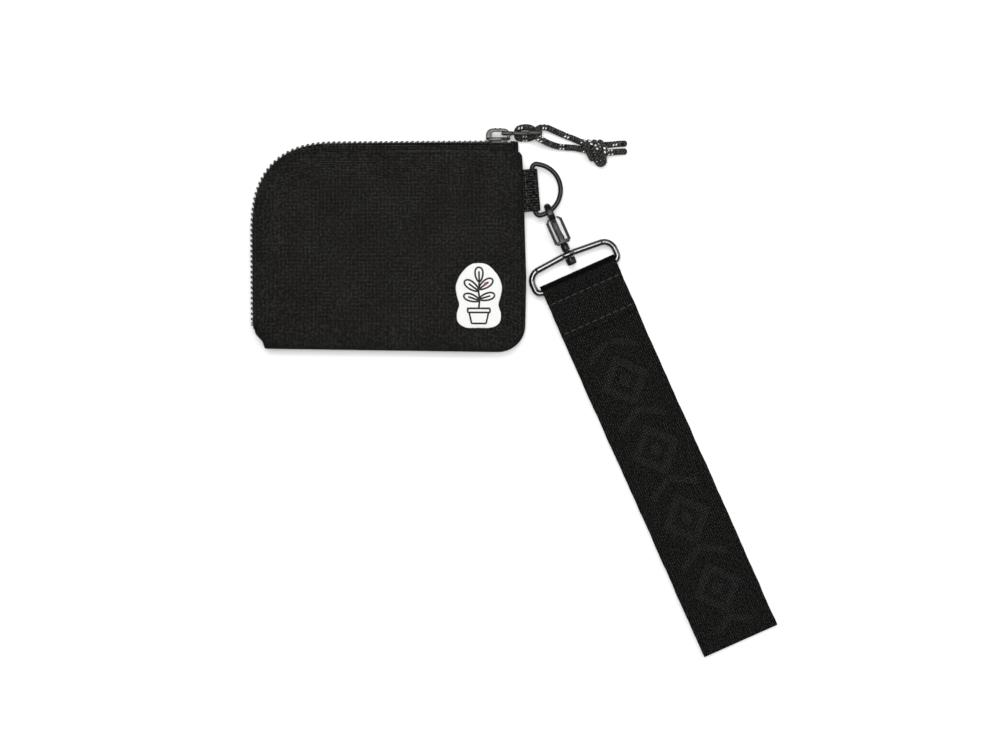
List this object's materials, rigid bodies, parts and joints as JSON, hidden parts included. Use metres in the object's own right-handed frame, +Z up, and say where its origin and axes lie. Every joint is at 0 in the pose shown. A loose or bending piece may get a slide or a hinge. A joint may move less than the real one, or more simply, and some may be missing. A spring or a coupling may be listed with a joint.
{
  "type": "zippered pouch",
  "caption": "Flat zippered pouch with a rounded zip corner, a D-ring tab and a webbing wrist strap on a swivel snap hook.",
  "frame": {"origin": "Middle of the pouch's back face, on the surface that it lies on.", "axes": "+Z up through the front panel, +X along the pouch to the side with the ring tab, +Y across the pouch to the zip's long edge. Millimetre source, metres here."},
  "size_m": [0.2505, 0.2537, 0.0111],
  "materials": {
    "canvas": "woven nylon canvas, matte, near black",
    "lining_cloth": "thin plain lining cloth",
    "zip_tape": "ribbed zip tape",
    "zip_coil": "nylon coil, slightly glossy",
    "binding": "folded binding tape",
    "tab_webbing": "ribbed 20 mm webbing",
    "strap_webbing": "ribbed 38 mm webbing with a tone-on-tone woven pattern",
    "thread": "sewing thread",
    "patch_twill": "white twill patch cloth",
    "patch_thread": "satin embroidery thread",
    "cord_braid": "braided cord, black with pale flecks",
    "grey_metal": "gunmetal plating",
    "dark_metal": "dark gunmetal plating",
    "black_wire": "black nickel, glossy",
    "spring_steel": "spring steel"
  },
  "bodies": {
    "pouch": {"front_panel": "canvas", "back_panel": "canvas", "front_lining": "lining_cloth", "back_lining": "lining_cloth", "card_pocket": "lining_cloth", "zip_tape_front": "zip_tape", "zip_tape_back": "zip_tape", "zip_teeth_front": "zip_coil", "zip_teeth_back": "zip_coil", "zip_stop_top": "grey_metal", "zip_stop_bottom": "grey_metal", "zip_end_top": "canvas", "zip_end_bottom": "canvas", "seam_binding": "binding", "ring_tab": "tab_webbing", "tab_stitching": "thread", "patch": "patch_twill", "patch_motif": "patch_thread"},
    "slider": {"slider_body": "grey_metal", "slider_bridge": "grey_metal"},
    "puller": {"puller": "dark_metal"},
    "pull_cord": {"pull_cord_a": "cord_braid", "pull_cord_b": "cord_braid", "pull_knot": "cord_braid"},
    "d_ring": {"d_ring": "black_wire"},
    "hook": {"hook_body": "black_wire", "swivel_stud": "black_wire", "gate_pin": "dark_metal"},
    "gate": {"gate_lever": "dark_metal", "gate_spring": "spring_steel"},
    "loop": {"strap_loop": "black_wire"},
    "strap": {"strap_webbing": "strap_webbing", "strap_stitching": "thread"}
  },
  "joints": [
    {"name": "slider_run", "type": "slide", "parent": "pouch", "child": "slider", "axis": [-1, 0, 0], "range_m": [0, 0.066], "deforming": ["zip_teeth_front", "zip_teeth_back"]},
    {"name": "puller_swing", "type": "hinge", "parent": "slider", "child": "puller", "pos_m": [0.054, 0.0539, 0.005], "axis": [0, 0, 1], "range_deg": [0, 120]},
    {"name": "cord_swing", "type": "hinge", "parent": "puller", "child": "pull_cord", "pos_m": [0.0692, 0.0539, 0.005], "axis": [0, 0, 1], "range_deg": [0, 60.1], "deforming": ["pull_cord_a", "pull_cord_b"]},
    {"name": "d_ring_swing", "type": "hinge", "parent": "pouch", "child": "d_ring", "pos_m": [0.0686, 0.027, 0.005], "axis": [0.0785, -0.9969, 0], "range_deg": [-80, 80]},
    {"name": "hook_swing", "type": "hinge", "parent": "d_ring", "child": "hook", "pos_m": [0.07598, 0.01684, 0.00508], "axis": [0.9135, 0.4067, 0], "range_deg": [-60, 60]},
    {"name": "gate_press", "type": "hinge", "parent": "hook", "child": "gate", "pos_m": [0.08175, 0.00389, 0.0062], "axis": [-0.9135, -0.4067, 0], "range_deg": [0, 20], "stiffness_Nm_per_rad": 0.02, "springref_deg": -11.46},
    {"name": "swivel_spin", "type": "hinge", "parent": "hook", "child": "loop", "pos_m": [0.08504, -0.0035, 0.00385], "axis": [0.4061, -0.9121, -0.0553], "continuous": true},
    {"name": "strap_swing", "type": "hinge", "parent": "loop", "child": "strap", "pos_m": [0.08983, -0.01426, 0.0032], "axis": [-0.9135, -0.4067, 0], "range_deg": [-75, 75]}
  ],
  "couplings": [
    {"joint": "cord_swing", "follows": "slider_run", "rad_per_m": 15.867}
  ]
}
